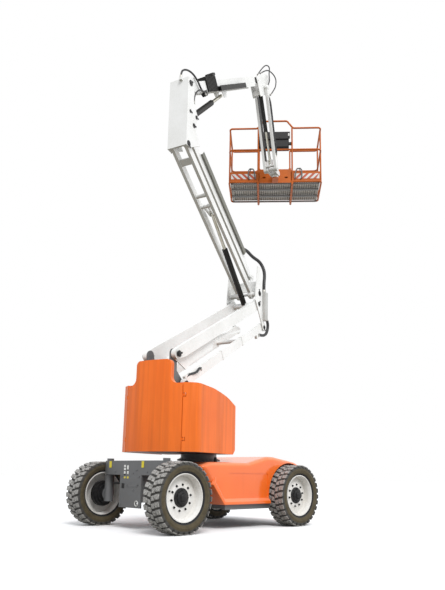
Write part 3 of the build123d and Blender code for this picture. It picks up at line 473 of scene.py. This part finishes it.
def nut(mesh, foot, axis, radius, length, stud=0.0):
    """A nut on its washer, and the end of its stud where that stands out of it."""
    way = Vector(axis).normalized() / MM
    round_bar(mesh, foot, foot + way * length * 0.2, radius * 1.35, 14)
    round_bar(mesh, foot + way * length * 0.2, foot + way * length, radius, 6, 0.94)
    if stud:
        round_bar(mesh, foot + way * length, foot + way * (length + stud), radius * 0.5, 10)


for end, x, out, hand in WHEELS:
    mesh = bmesh.new()
    revolved(mesh, [(r, out * (DISC_FACE + w)) for r, w in HUB], 48)
    for n in range(NUTS):
        nut(mesh, spun(NUT_CIRCLE, 2 * pi * (n + 0.3) / NUTS, out * DISC_FACE), (0, out, 0), 11, 14, 8)
    for n in range(CAP_BOLTS):
        nut(mesh, spun(CAP_CIRCLE, 2 * pi * n / CAP_BOLTS, out * (DISC_FACE + CAP_STEP)), (0, out, 0), 7, 8)
    valve = [spun(VALVE_R, VALVE_TURN, out * y) for y in (VALVE_Y, VALVE_Y + VALVE_LENGTH)]
    round_bar(mesh, *valve, 8, 12)
    hub = finished(f"hub_{end}_{hand}", mesh, cast, f"wheel_{end}_{hand}", 30,
                   (x, out * WHEEL_Y, AXLE_Z))
    softened(hub, 1.2, 1)


# ---- Hose ends ----
# Each hose is crimped into a plated steel ferrule that tapers down to the hose, with a hexagon behind it.
# The ferrule stays with the side of the joint that its end is clamped to.
plated = Paint("ferrule_steel", Metallic=0.7, Roughness=0.4)
plating = plated.noise(40, 3).over(0.3, 0.7)
plated.wear("Base Color", plated.mix(plating, (0.30, 0.29, 0.26), (0.42, 0.41, 0.38)))
FERRULE, HEXAGON = 46, 13
FAR_SIDE = {("hose_mid_top", "start"): "upper_tie", ("hose_head", "end"): "boom"}
for node, body, radius, length, route in HOSES:
    for side, (first, second) in (("start", route[:2]), ("end", route[:-3:-1])):
        mesh = bmesh.new()
        foot, way = upper(*first), (upper(*second) - upper(*first)).normalized() / MM
        round_bar(mesh, foot + way * (HEXAGON - 1), foot + way * FERRULE, radius * 1.32, 20, 0.82)
        round_bar(mesh, foot, foot + way * HEXAGON, radius * 1.45, 6)
        clamped_to = FAR_SIDE.get((node, side), body)
        softened(finished(f"{node}_ferrule_{side}", mesh, plated, clamped_to), 1, 1)


# ---- Chassis frame and axles ----
# A welded box frame with a thick end plate, the steer beam over it and cast knuckles, in dark grey paint.
# The end plate carries small blank plates, bolts, a tie-down ring and a cover over the service slot.
steel_grey = enamel("chassis_grey", (0.120, 0.122, 0.126), (0.090, 0.092, 0.095), 0.42,
                    (0.22, 0.20, 0.17), 0.25)
painted(steel_grey, "chassis_frame", "steer_axle", "drive_axle", "steer_knuckle_left",
        "steer_knuckle_right", "slew_pedestal")


def slab(mesh, low, high, matrix=Matrix()):
    """A block between two opposite corners."""
    low, high = at(*low), at(*high)
    size = Matrix.Diagonal((*(high - low), 1))
    bmesh.ops.create_cube(mesh, size=1, matrix=matrix @ Matrix.Translation((low + high) / 2) @ size)


END_X, BEAM_X = -1150, -1146       # the end plate's face, and the steer beam's above it
BEAM_Z = 660
yellow = enamel("tag_yellow", (0.75, 0.62, 0.02), (0.65, 0.52, 0.02), 0.4, (0.3, 0.25, 0.1), 0.2)
pale = enamel("tag_white", (0.75, 0.75, 0.73), (0.65, 0.65, 0.62), 0.4, (0.3, 0.28, 0.2), 0.2)
TAG_X = (END_X - 1.6, END_X + 4.2)
TAGS = (
    # name, paint, then for each tag its middle's y and z, its width and its height
    ("yellow", yellow, ((448, 790, 46, 82), (-236, 790, 44, 78), (122, 628, 30, 22), (58, 628, 34, 24))),
    ("white", pale, ((128, 770, 34, 26), (128, 732, 34, 30), (66, 752, 30, 52), (128, 690, 30, 34),
                     (62, 690, 28, 40))),
    ("dark", cast, ((150, 525, 58, 62), (128, 712, 34, 12), (66, 718, 30, 14), (128, 662, 30, 14))),
)
for tone, paint, tags in TAGS:
    mesh = bmesh.new()
    for y, z, wide, high in tags:
        slab(mesh, (TAG_X[0], y - wide / 2, z - high / 2), (TAG_X[1], y + wide / 2, z + high / 2))
    softened(finished(f"end_plate_tags_{tone}", mesh, paint, "chassis"), 0.8, 1)

SLOT_Y, SLOT_Z, SLOT_COVER = (-160, 70), (515, 559), 4
PLATE_BOLTS = ((180, 640), (-180, 640), (180, 300), (-72, 476), (-52, 684), (-120, 720), (330, 700),
               (-330, 700))
mesh = bmesh.new()
slab(mesh, (END_X - SLOT_COVER, SLOT_Y[0], SLOT_Z[0]), (END_X, SLOT_Y[1], SLOT_Z[1]))
for y in (SLOT_Y[0] + 12, SLOT_Y[1] - 12):
    nut(mesh, at(END_X - SLOT_COVER, y, sum(SLOT_Z) / 2), (-1, 0, 0), 8, 9)
for y, z in PLATE_BOLTS:
    nut(mesh, at(END_X if z < BEAM_Z else BEAM_X, y, z), (-1, 0, 0), 9, 8)
softened(finished("end_plate_fasteners", mesh, steel_grey, "chassis"), 1.5, 1)

RING_Y, RING_Z, RING_R, RING_STEPS = -145, 318, 30, 24
mesh = bmesh.new()
for n in range(RING_STEPS):
    turns = (2 * pi * n / RING_STEPS, 2 * pi * (n + 1) / RING_STEPS)
    round_bar(mesh, *[at(END_X - 2, RING_Y + RING_R * cos(t), RING_Z + RING_R * sin(t)) for t in turns],
              6, 8)
finished("tie_down_ring", mesh, pale, "chassis")

MOTOR_BOLTS, MOTOR_BOLT_CIRCLE, MOTOR_FLANGE = 12, 106, 690
MOTOR = (
    # radius, and where it begins and ends sideways
    (118, 648, MOTOR_FLANGE), (164, 700, 760), (150, 686, 702), (88, 604, 650),
)
for out, hand in ((1, "left"), (-1, "right")):
    mesh = bmesh.new()
    for radius, low, high in MOTOR:
        round_bar(mesh, at(STEER_X, out * low, AXLE_Z), at(STEER_X, out * high, AXLE_Z), radius, 40)
    for n in range(MOTOR_BOLTS):
        bolt = spun(MOTOR_BOLT_CIRCLE, 2 * pi * n / MOTOR_BOLTS, out * MOTOR_FLANGE)
        nut(mesh, at(STEER_X, 0, AXLE_Z) + bolt, (0, -out, 0), 9, -12)
    softened(finished(f"wheel_motor_{hand}", mesh, cast, f"knuckle_{hand}"), 3, 2)


# ---- Chassis cover ----
# One large orange moulding over the frame, with humps over the fixed wheels, and a lip along its foot that
# turns up its sloping front edge. It is pigmented plastic: satin and slightly wavy, with a painted highlight
# on what faces up.
def moulded(name, colour, shade, rough, coat, runs_shade, painted_top_highlight):
    """Pigmented plastic: cloudy colour, a gloss, weathering in vertical runs, and a painted highlight that
    lightens what faces up.
    """
    made = Paint(name, Coat_Weight=coat, Coat_Roughness=0.08, Specular_IOR_Level=0.2)
    cloud = made.noise(1.3, 3)
    drawn_out = made.node("ShaderNodeMapping", None, {0: made.place(), 3: (12.0, 12.0, 0.5)})
    runs = made.noise(1.0, 4, where=drawn_out)
    fine = made.noise(60, 3)
    tint = made.mix(cloud.over(0.3, 0.7), colour, shade)
    streak = runs.over(0.42, 0.72) * runs_shade
    weathered = made.mix(streak, tint, (0.56, 0.110, 0.014))
    # What faces up is mixed towards a pale colour: a painted highlight.
    made.wear("Base Color", made.mix(made.facing().over(0.25, 0.9) * painted_top_highlight, weathered, (0.95, 0.62, 0.48)))
    made.wear("Roughness", fine * 0.10 + (rough - 0.05) + runs * 0.08)
    made.bump(made.noise(7, 2) * 0.7 + made.noise(420, 2) * 0.3, 0.0012, 0.30)
    return made


# The last figure is the share of the painted highlight on what faces up.
orange = moulded("cover_orange", (0.90, 0.165, 0.014), (0.84, 0.135, 0.010), 0.30, 0.8, 0.10, 0.2)
painted(orange, "chassis_cover")


LIP = (
    # how far out it is, and its outline in side view: along and up
    (742, ((-268, 309), (636, 309), (636, 392), (-222, 392), (-372, 590), (-380, 668), (-482, 560))),
    (790, ((-262, 309), (632, 309), (632, 346), (-250, 346), (-428, 580), (-430, 596), (-466, 560))),
)
mesh = bmesh.new()
for out in (1, -1):
    rings = [[mesh.verts.new(at(x, out * y, z)) for x, z in outline] for y, outline in LIP]
    mesh.faces.new(rings[0][::-1])
    stepped(mesh, rings)
softened(finished("cover_lip", mesh, orange, "chassis", 30), 6, 3, 20)

STUB = (-160, -500)
mesh = bmesh.new()
round_bar(mesh, at(*STUB, 838), at(*STUB, 905), 22, 24, 0.8)
softened(finished("cover_stub", mesh, cast, "chassis"), 5, 3)


# ---- Slew ring, turntable and pedestal ----
# Plate steel in dark grey: the deck turns on the slew ring and carries two tall cheeks for the risers' pins.
# The counterweight is cast iron, painted over its sand-cast skin.
painted(steel_grey, "turntable_base", "power_pack", "hydraulic_tank")
iron = Paint("cast_iron", Roughness=0.6)
sand = iron.noise(25, 5).over(0.3, 0.7)
iron.wear("Base Color", iron.mix(sand, (0.05, 0.05, 0.051), (0.09, 0.088, 0.084)))
iron.bump(iron.noise(110, 4), 0.0015, 0.8)
painted(iron, "counterweight")

FLANGE_R, BEARING_R, BOLT_CIRCLE, RING_BOLTS = 300, 278, 289, 30
FLANGE_Z, FLANGE_TOP, BEARING_TOP = 861, 873, 893
mesh = bmesh.new()
round_bar(mesh, at(0, 0, FLANGE_Z), at(0, 0, FLANGE_TOP), FLANGE_R, 64)
round_bar(mesh, at(0, 0, FLANGE_TOP), at(0, 0, BEARING_TOP), BEARING_R, 64)
for n in range(RING_BOLTS):
    a = 2 * pi * n / RING_BOLTS
    nut(mesh, at(BOLT_CIRCLE * cos(a), BOLT_CIRCLE * sin(a), FLANGE_TOP), (0, 0, 1), 9, 10)
softened(finished("slew_ring_bolts", mesh, steel_grey, "chassis"), 1.5, 1)


# ---- Hood ----
# Three orange mouldings: a fixed cover at the rear, rolled to the turntable's swing, and two side doors.
# Even seams part them, and the doors hang on small hinges just ahead of the seam. Every edge is rounded.
# The last figure is the share of the painted highlight on what faces up.
hood_orange = moulded("hood_orange", (0.90, 0.185, 0.020), (0.82, 0.150, 0.014), 0.38, 0.12, 0.62, 0.25)
painted(hood_orange, "hood_rear", "hood_left", "hood_right")
EDGES = {"hood_rear": 7, "hood_left": 7, "hood_right": 7, "chassis_cover": 14}
for node, rounding in EDGES.items():
    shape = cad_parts[node]
    shape.modifiers.new("joined", "WELD").merge_threshold = 0.0001
    softened(shape, rounding, 3, 35)


# ---- Risers ----
# Box-section steel arms and tie bars in white paint, pinned in parallel pairs, with hose trays in grey.
# The paint carries a thin film of dust, and what looks down is darkened with painted shade. The pins are
# black, with bolted keepers.
def arm_paint(name):
    """White paint with a thin film of dust, and painted shade that darkens what looks down."""
    made = Paint(name, Coat_Weight=0.1)
    broad, fine = made.noise(1.7, 4), made.noise(38, 4)
    underside_shade = (made.facing() * -1).over(0.15, 0.9)
    tint = made.mix(broad.over(0.3, 0.7), (0.86, 0.86, 0.85), (0.79, 0.79, 0.77))
    film = (fine * broad).over(0.20, 0.48) * 0.16
    grime = made.mix(film, tint, (0.36, 0.34, 0.28))
    # What looks down is mixed towards a dark olive colour: painted shade.
    made.wear("Base Color", made.mix(underside_shade * 0.78, grime, (0.22, 0.215, 0.16)))
    made.wear("Roughness", fine * 0.14 + 0.30 + film)
    made.bump(made.noise(260, 2), 0.0003, 0.5)
    return made


white = arm_paint("arm_white")
painted(white, "lower_arm", "lower_link", "mid_bracket", "upper_arm", "upper_link", "head_bracket",
        "boom_base", "jib_arm", "jib_bracket", "tip_bracket")
black = enamel("black_paint", (0.006, 0.006, 0.006), (0.014, 0.013, 0.011), 0.42, (0.10, 0.09, 0.07), 0.12,
               Specular_IOR_Level=0.22)
painted(black, "boom_inner", "riser_barrel", "lift_barrel", "jib_barrel", "carrier_tray", "carrier_chain",
        "boom_collar", "hose_block")
tray_grey = enamel("tray_grey", (0.13, 0.13, 0.11), (0.20, 0.20, 0.17), 0.5, (0.25, 0.23, 0.17), 0.4)
painted(tray_grey, "hose_tray")
channel_grey = enamel("channel_grey", (0.50, 0.50, 0.48), (0.42, 0.42, 0.40), 0.4,
                      (0.25, 0.23, 0.17), 0.3)
painted(channel_grey, "mid_hose_channel")

PINS = (
    # body, along and up on the upper works, half length over its faces, radius, keeper's turn
    ("turntable", -990, 2185, 272, 44, 20), ("turntable", -790, 1830, 272, 38, 200),
    ("mid", 1350, 3455, 272, 40, 60), ("mid", 1550, 3100, 272, 36, -60),
    ("mid", 1362, 3640, 272, 46, 100), ("head", -772, 5290, 165, 44, -40),
    ("head", -647, 5640, 165, 34, 10), ("head", -766, 6263, 165, 44, 45),
    ("head", -587, 5806, 165, 30, 0), ("head", -754, 5815, 165, 26, 0),
)
CAP = (
    # share of the pin's radius, and where it begins and ends outward
    (1, 0, 5), (0.72, 5, 11), (0.3, 11, 14),
)
KEEPER_OUT, KEEPER_R, KEEPER_THICK = 16, 15, 5
FLUSH = 0.15                # how proud the head's pins are, so that the head folds into the turntable
for n, (body, x, z, half, radius, turn) in enumerate(PINS):
    proud, edge = (FLUSH, 0.2) if body == "head" else (1, 1.2)
    mesh = bmesh.new()
    for out in (1, -1):
        outward = upper(0, out, 0) * proud
        for share, low, high in CAP:
            places = [upper(x, out * (half + reach * proud), z) for reach in (low, high)]
            round_bar(mesh, *places, radius * share, 28)
        across, up = [(radius + KEEPER_OUT) * way(radians(turn)) for way in (cos, sin)]
        keeper = upper(x + across, out * half, z + up)
        round_bar(mesh, keeper, keeper + outward * KEEPER_THICK, KEEPER_R, 20)
        nut(mesh, keeper + outward * KEEPER_THICK, outward, 7, 7 * proud)
    softened(finished(f"pin_{body}_{n}", mesh, cast, body), edge, 1)


# ---- Jib channel ----
# The jib is an open channel of two plates, and the inside of each is lined with a dark wear sheet.
# The sheets are held by small bolts beside the cylinder that swings between them.
JIB_PIVOT = (1950, 0, 7915)
JIB_RUN = Vector((0.2955, 0, -0.9553))
LINER_Y, LINER_HALF, LINER_RUN = (83.4, 86), 50, (110, 1350)
BOLT_PITCH, BOLT_UP = 240, 36
lie = Matrix((JIB_RUN, (0, 1, 0), (-JIB_RUN.z, 0, JIB_RUN.x))).transposed().to_4x4()
jib_at = Matrix.Rotation(SLEW, 4, "Z") @ Matrix.Translation(at(*JIB_PIVOT)) @ lie
mesh = bmesh.new()
for out in (1, -1):
    low, high = sorted((out * LINER_Y[0], out * LINER_Y[1]))
    slab(mesh, (LINER_RUN[0], low, -LINER_HALF), (LINER_RUN[1], high, LINER_HALF), jib_at)
    for along_jib in range(LINER_RUN[0] + 40, LINER_RUN[1], BOLT_PITCH):
        nut(mesh, jib_at @ at(along_jib, out * LINER_Y[0], BOLT_UP), upper(0, -out, 0), 6, 4)
softened(finished("jib_liners", mesh, black, "jib"), 0.6, 1)


# ---- Cylinder rods ----
# Ground steel under hard chrome, with an oily film that is thicker in patches.
# Each barrel and rod is a cylinder of its own in the solids, and keeps its shape here.
rod = Paint("rod_steel", Metallic=0.85)
oil = rod.noise(9, 4)
rod.wear("Base Color", rod.mix(oil.over(0.3, 0.7), (0.52, 0.51, 0.46), (0.38, 0.36, 0.28)))
rod.wear("Roughness", oil * 0.25 + 0.18)
painted(rod, "riser_rod", "lift_rod", "jib_rod")


# ---- Platform ----
# A welded cage of orange tube round a steel mesh floor, with a kick plate, a lifting bar and the control
# box. The kick plate's ends carry red and white tape, and grey hand hoops stand either side of the mount.
ROTATOR_X, YAW, REACH, FLOOR_Z = 2595, radians(24.94), 190, 6420


def aboard(x, y, z):
    """A place on the platform, in millimetres from the middle of its near edge at floor level."""
    return upper(ROTATOR_X + (REACH + x) * cos(YAW) - y * sin(YAW),
                 (REACH + x) * sin(YAW) + y * cos(YAW), FLOOR_Z + z)


orange_steel = enamel("rail_orange", (0.58, 0.130, 0.010), (0.42, 0.088, 0.008), 0.40,
                      (0.26, 0.12, 0.05), 0.4, 0.05, Specular_IOR_Level=0.2)
painted(orange_steel, "platform_frame", "platform_mount", "toe_boards", "gate_bar")
BARS, WIRES = 22, 40        # to a metre of the floor's mesh
mesh_steel = Paint("floor_mesh", Roughness=0.5)
along = mesh_steel.place("X") * cos(SLEW + YAW) + mesh_steel.place("Y") * sin(SLEW + YAW)
aside = mesh_steel.place("Y") * cos(SLEW + YAW) - mesh_steel.place("X") * sin(SLEW + YAW)
bars = (aside * BARS).maths("PINGPONG", 0.5).over(0.12, 0.2)
wires = (along * WIRES).maths("PINGPONG", 0.5).over(0.08, 0.2)
steel = mesh_steel.mix(mesh_steel.noise(6, 4).over(0.3, 0.7), (0.66, 0.64, 0.60), (0.46, 0.43, 0.38))
mesh_steel.wear("Base Color", mesh_steel.mix(bars * (wires * 0.3 + 0.7), (0.17, 0.16, 0.145), steel))
mesh_steel.bump(bars * wires, 0.004)
painted(mesh_steel, "platform_floor")
hoop_grey = enamel("hoop_grey", (0.10, 0.10, 0.10), (0.16, 0.155, 0.15), 0.45, (0.3, 0.26, 0.2), 0.3)
painted(hoop_grey, "step_hoops")
panel_grey = enamel("console_black", (0.010, 0.010, 0.011), (0.018, 0.018, 0.02), 0.5,
                    (0.2, 0.18, 0.15), 0.12, Specular_IOR_Level=0.25)
painted(panel_grey, "platform_console")
frame_at = Matrix.Translation(aboard(0, 0, 0)) @ Matrix.Rotation(SLEW + YAW, 4, "Z")

CROSS_BAR_Y, CROSS_BAR_Z = 880, (-56, -39)
CROSS_BARS = ((300, 62), (590, 62), (50, 40), (845, 34))       # place in from the near edge, and width
mesh = bmesh.new()
for x, wide in CROSS_BARS:
    slab(mesh, (x - wide / 2, -CROSS_BAR_Y, CROSS_BAR_Z[0]), (x + wide / 2, CROSS_BAR_Y, CROSS_BAR_Z[1]),
         frame_at)
softened(finished("floor_cross_bars", mesh, hoop_grey, "platform"), 3, 1)

TAPE_Y, TAPE_Z, TAPE_X, STRIPE_X = (382, 880), (48, 158), (17.8, 20.4), (18.2, 16.4)
STRIPE, STRIPES, LEAN = 62, 4, 110
tape_red = enamel("tape_red", (0.55, 0.075, 0.02), (0.42, 0.06, 0.02), 0.45, (0.3, 0.2, 0.12), 0.3)
for side, out in (("left", 1), ("right", -1)):
    mesh = bmesh.new()
    low, high = sorted((out * TAPE_Y[0], out * TAPE_Y[1]))
    slab(mesh, (TAPE_X[0], low, TAPE_Z[0]), (TAPE_X[1], high, TAPE_Z[1]), frame_at)
    finished(f"kick_tape_{side}", mesh, pale, "platform")
    mesh = bmesh.new()
    for n in range(STRIPES):
        start = TAPE_Y[0] + n * 2 * STRIPE
        face = ((start, TAPE_Z[0]), (start + STRIPE, TAPE_Z[0]), (start + STRIPE + LEAN, TAPE_Z[1]),
                (start + LEAN, TAPE_Z[1]))
        stepped(mesh, [[mesh.verts.new(frame_at @ at(x, out * min(y, TAPE_Y[1]), z)) for y, z in face]
                       for x in STRIPE_X])
    finished(f"kick_stripes_{side}", mesh, tape_red, "platform")

HOOP_R = 12
HOOP = (
    # in from the near edge, aside and up, from one foot to the other
    (16, 396, 40), (-6, 400, 70), (-10, 410, 190), (-8, 440, 250), (-8, 500, 256), (-8, 528, 220),
    (-8, 532, 90), (-6, 520, 50), (16, 512, 36),
)
mesh = bmesh.new()
for out in (1, -1):
    spots = [aboard(x, out * y, z) for x, y, z in HOOP]
    for one, two in zip(spots, spots[1:]):
        round_bar(mesh, one, two, HOOP_R, 12)
        bmesh.ops.create_uvsphere(mesh, u_segments=12, v_segments=8, radius=HOOP_R / MM,
                                  matrix=Matrix.Translation(two))
finished("hand_hoops", mesh, hoop_grey, "platform", 60)

mesh = bmesh.new()
slab(mesh, (7, -300, 925), (16.4, 300, 1078), frame_at)
for y in (-270, -90, 90, 270):
    nut(mesh, aboard(7, y, 950), upper(-cos(YAW), -sin(YAW), 0), 8, 7)
softened(finished("console_back", mesh, panel_grey, "platform"), 4, 2)
mesh = bmesh.new()
slab(mesh, (4.5, -292, 985), (7.4, -262, 1040), frame_at)
finished("console_tag", mesh, pale, "platform")
